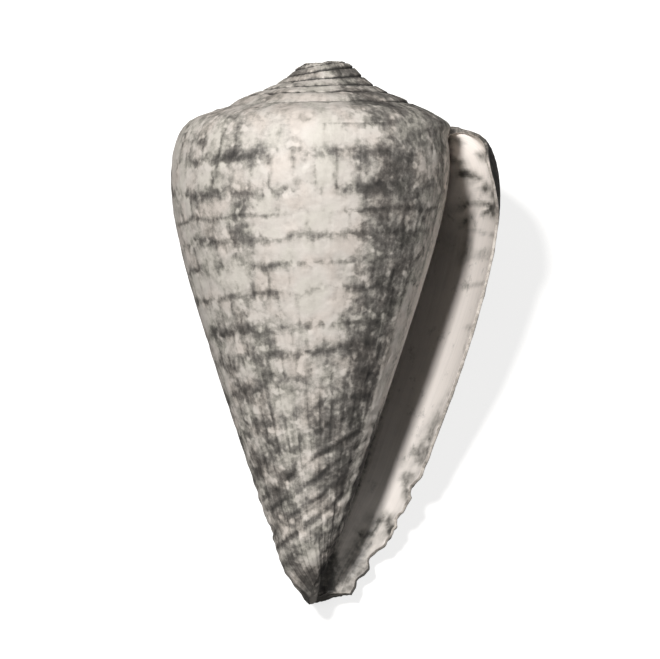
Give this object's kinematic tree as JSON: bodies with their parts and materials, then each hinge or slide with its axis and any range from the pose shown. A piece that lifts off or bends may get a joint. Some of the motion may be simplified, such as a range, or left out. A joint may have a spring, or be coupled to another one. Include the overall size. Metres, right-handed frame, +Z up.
{
  "type": "cone shell",
  "caption": "Cone-shaped sea snail shell lying on its back, with a low stepped spire, a long narrow mouth under a thin lip, and a hollow last whorl.",
  "frame": {"origin": "on the surface that the shell rests on, under the centre of its bounding box", "axes": "+Y from the front canal towards the spire, +X towards the free lip, +Z up and out of the mouth"},
  "size_m": [0.0452, 0.0724, 0.0422],
  "materials": {
    "shell": "worn chalky shell, cream with grey markings, smoother inside the lip"
  },
  "bodies": {
    "root": {"shell": "shell"}
  },
  "joints": []
}
